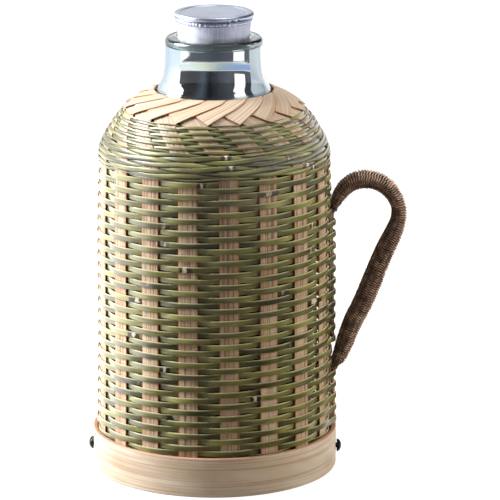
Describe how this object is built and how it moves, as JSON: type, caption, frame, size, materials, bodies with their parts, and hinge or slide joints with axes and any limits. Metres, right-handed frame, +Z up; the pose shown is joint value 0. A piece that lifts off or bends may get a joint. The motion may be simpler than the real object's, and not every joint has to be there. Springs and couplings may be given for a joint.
{
  "type": "vacuum flask",
  "caption": "Glass-lined vacuum flask in a woven bamboo case with a plaited collar, a metal-clad cork stopper that lifts out and a curved side handle wound with twine.",
  "frame": {"origin": "centre of the base, on the flask's axis, at the height that it stands on", "axes": "+Z up along the flask's axis, +X towards the side handle, +Y towards the back of the pictured view"},
  "size_m": [0.2127, 0.164, 0.3085],
  "materials": {
    "stave_bamboo": "dry split bamboo, satin",
    "weft_bamboo": "green bamboo skin, waxy",
    "cane_bamboo": "green bamboo cane, waxy",
    "hoop_wood": "bare bent strip, matte",
    "board_wood": "bare board, matte",
    "screw_steel": "black, satin",
    "felt": "matte",
    "clear_glass": "clear, faintly green",
    "silvered_glass": "silvered on the vacuum side",
    "cork": "matte",
    "aluminium": "brushed, slightly crumpled foil",
    "handle_bamboo": "matte",
    "twine": "brown jute, matte and fuzzy"
  },
  "bodies": {
    "flask": {"stave_01": "stave_bamboo", "stave_02": "stave_bamboo", "stave_03": "stave_bamboo", "stave_04": "stave_bamboo", "stave_05": "stave_bamboo", "stave_06": "stave_bamboo", "stave_07": "stave_bamboo", "stave_08": "stave_bamboo", "stave_09": "stave_bamboo", "stave_10": "stave_bamboo", "stave_11": "stave_bamboo", "stave_12": "stave_bamboo", "stave_13": "stave_bamboo", "stave_14": "stave_bamboo", "stave_15": "stave_bamboo", "stave_16": "stave_bamboo", "stave_17": "stave_bamboo", "stave_18": "stave_bamboo", "wall_weft_a": "weft_bamboo", "wall_weft_b": "weft_bamboo", "wale_strand_1": "cane_bamboo", "wale_strand_2": "cane_bamboo", "wale_strand_3": "cane_bamboo", "shoulder_weft_a": "cane_bamboo", "shoulder_weft_b": "cane_bamboo", "base_hoop": "hoop_wood", "base_board": "board_wood", "hoop_screw_right": "screw_steel", "hoop_screw_left": "screw_steel", "liner_cushion": "felt", "glass_outer_flask": "clear_glass", "glass_inner_flask": "silvered_glass", "spacer_pad_1": "felt", "spacer_pad_2": "felt", "spacer_pad_3": "felt", "handle_core": "handle_bamboo", "handle_winding": "twine"},
    "stopper": {"stopper_cork": "cork", "stopper_skirt": "aluminium", "stopper_cap": "aluminium"}
  },
  "joints": [
    {"name": "stopper_lift", "type": "slide", "parent": "flask", "child": "stopper", "axis": [0, 0, 1], "range_m": [0, 0.06]}
  ]
}
